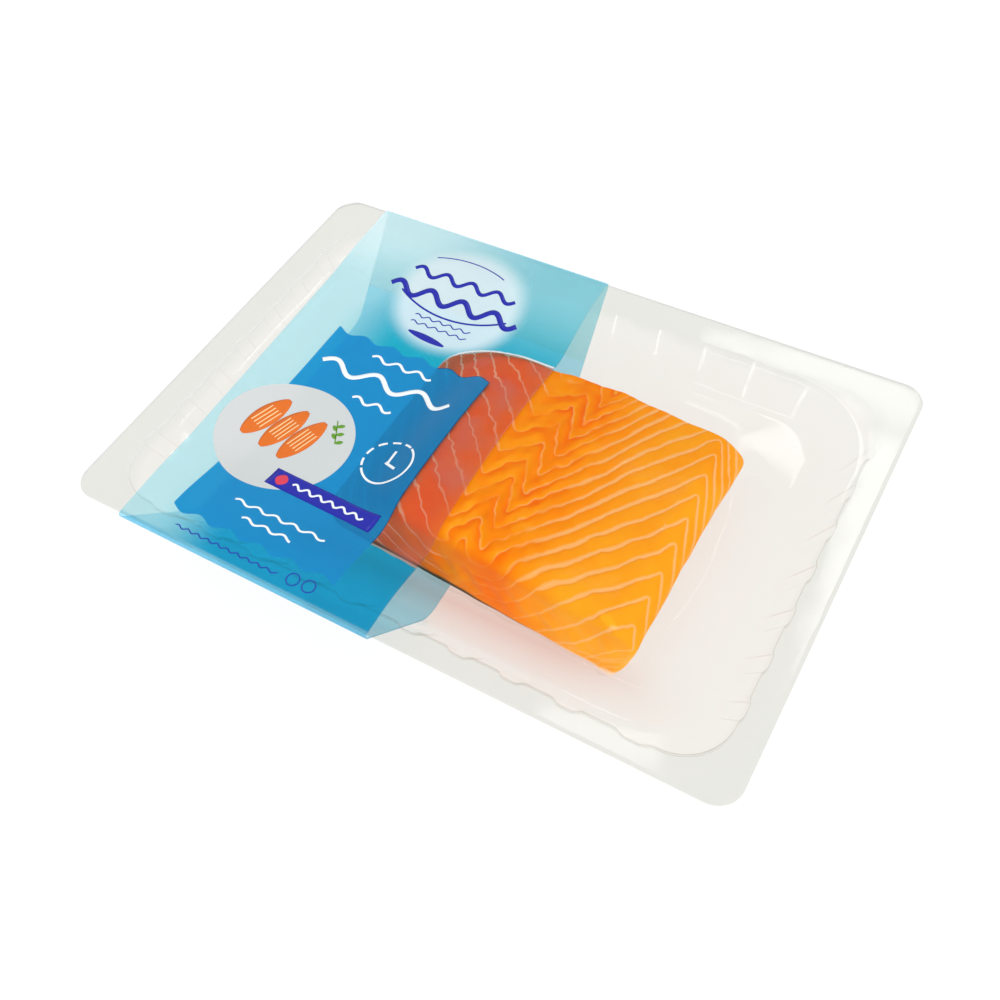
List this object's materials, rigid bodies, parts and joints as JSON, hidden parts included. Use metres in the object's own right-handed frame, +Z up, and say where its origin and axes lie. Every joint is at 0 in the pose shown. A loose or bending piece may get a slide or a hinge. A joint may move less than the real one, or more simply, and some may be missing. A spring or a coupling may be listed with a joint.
{
  "type": "thick salmon fillet in sealed tray pack",
  "caption": "Thick raw salmon fillet lying in a clear fluted tray, sealed with clear film and wrapped at one end in a blue printed sleeve.",
  "frame": {"origin": "middle of the pack's underside, on the surface it lies on", "axes": "+X along the pack's long side towards its clear end, +Y towards its back, +Z up through the film"},
  "size_m": [0.26, 0.1826, 0.0393],
  "materials": {
    "tray": "clear glossy thermoformed plastic",
    "fillet": "moist raw salmon flesh with pale fat lines",
    "lid_film": "clear glossy film",
    "sleeve": "glossy film printed in translucent blue"
  },
  "bodies": {
    "root": {"tray": "tray", "fillet": "fillet", "lid_film": "lid_film", "sleeve": "sleeve"}
  },
  "joints": []
}
